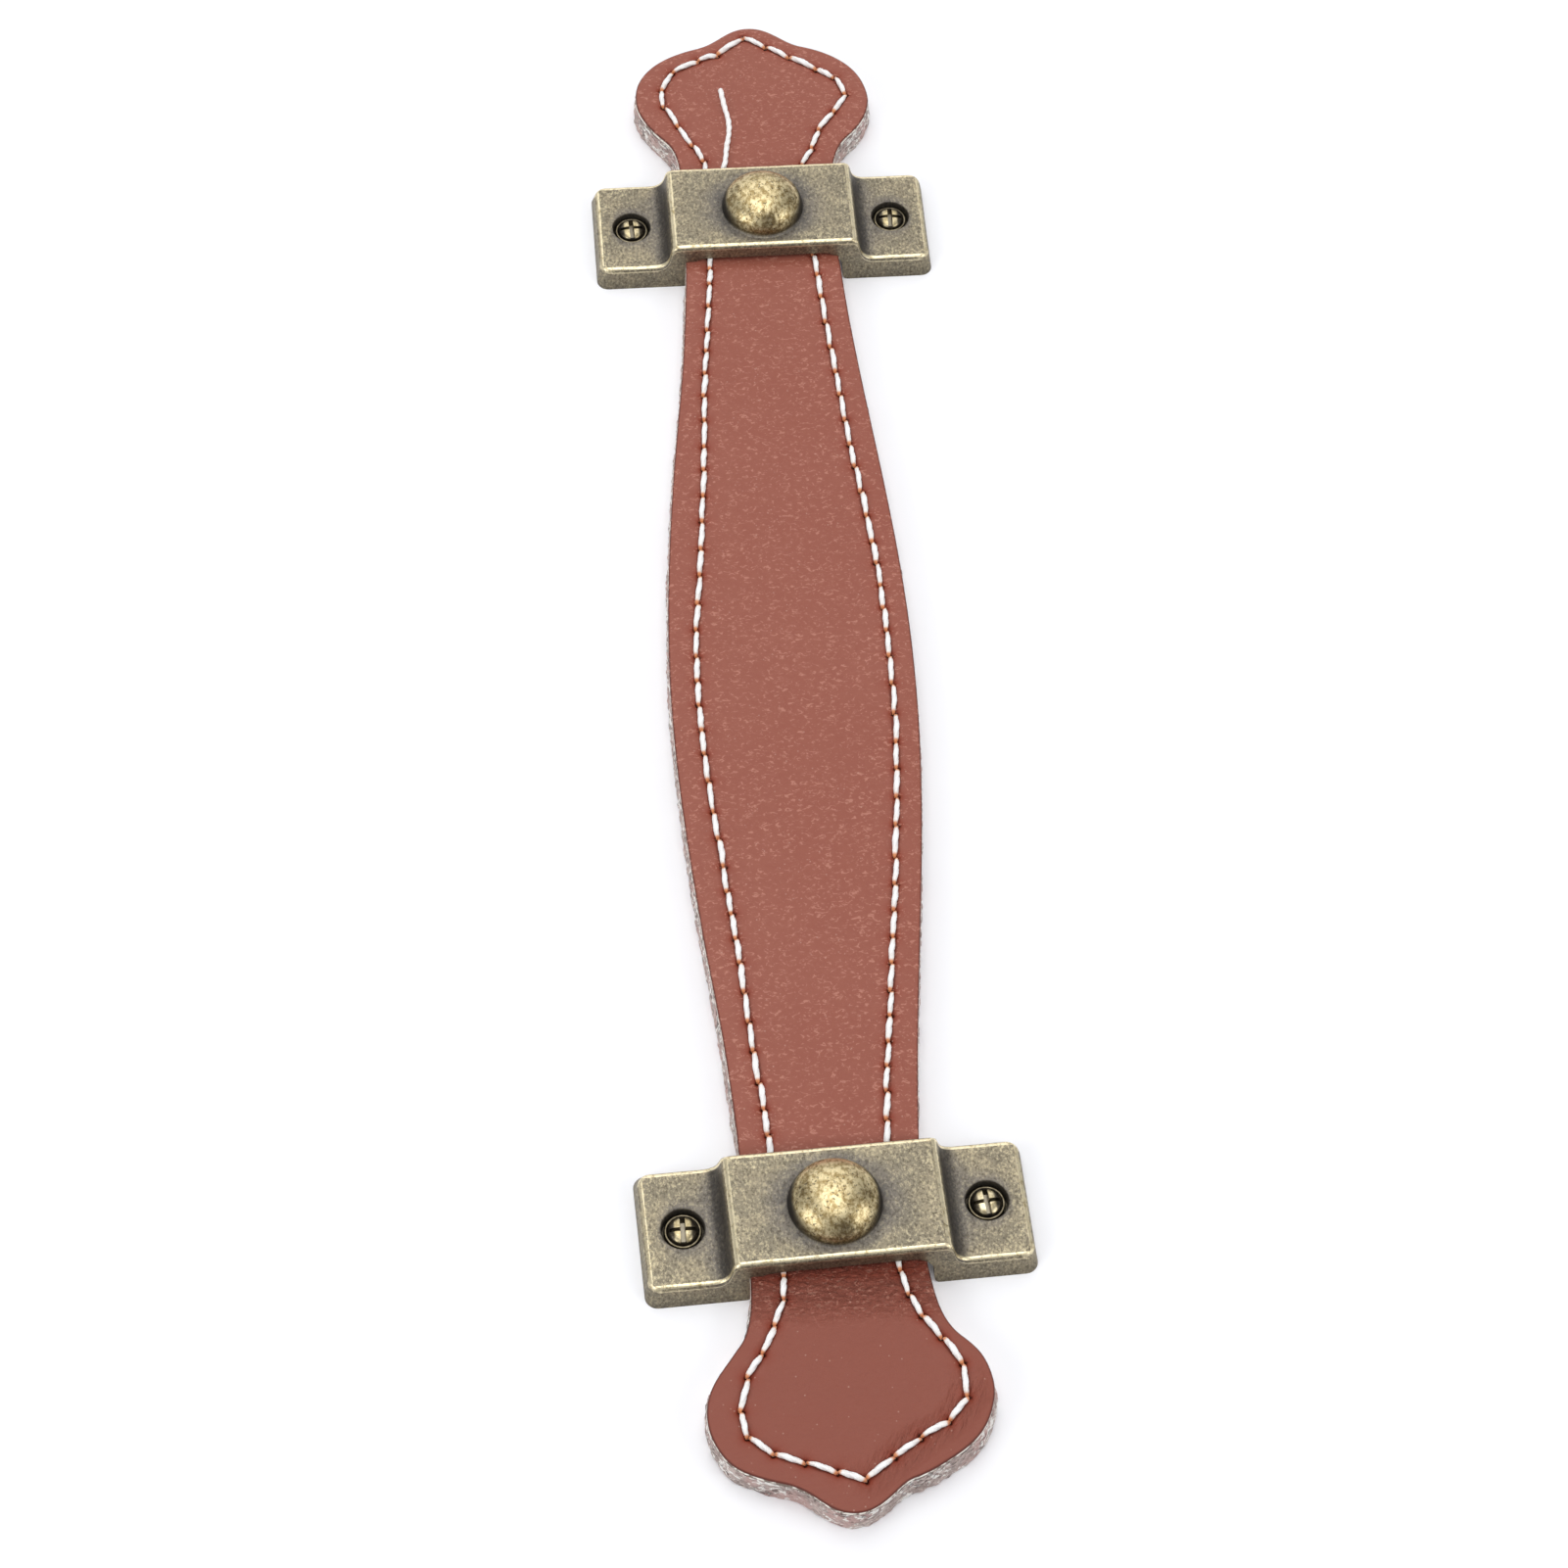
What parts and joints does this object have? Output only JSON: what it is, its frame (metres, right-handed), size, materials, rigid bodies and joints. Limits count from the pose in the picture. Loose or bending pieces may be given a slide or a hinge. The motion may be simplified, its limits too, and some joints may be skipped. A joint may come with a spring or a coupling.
{
  "type": "leather cabinet pull",
  "caption": "Stitched leather strap pull with leaf-shaped ends, held flat by cast bridge brackets with domed bosses and cross-recessed screws.",
  "frame": {"origin": "on the cabinet's face, at the back of the strap, halfway between the strap's tips", "axes": "+Y along the strap towards its upper end, +X across the strap along the brackets to the right, +Z away from the cabinet"},
  "size_m": [0.0544, 0.261, 0.0227],
  "materials": {
    "tan_leather": "smooth low sheen, fine grain",
    "fibre_board": "raw cut fibre, matte",
    "white_thread": "twisted thread, soft sheen",
    "antique_brass": "antiqued plating, dark in the hollows and worn bright on the edges",
    "dark_bronze": "dark plated, glossy"
  },
  "bodies": {
    "root": {"face_leather": "tan_leather", "fibre_backing": "fibre_board", "needle_thread": "white_thread", "bobbin_thread": "white_thread", "upper_bracket": "antique_brass", "lower_bracket": "antique_brass", "screw_upper_left": "dark_bronze", "screw_upper_right": "dark_bronze", "screw_lower_left": "dark_bronze", "screw_lower_right": "dark_bronze"}
  },
  "joints": []
}
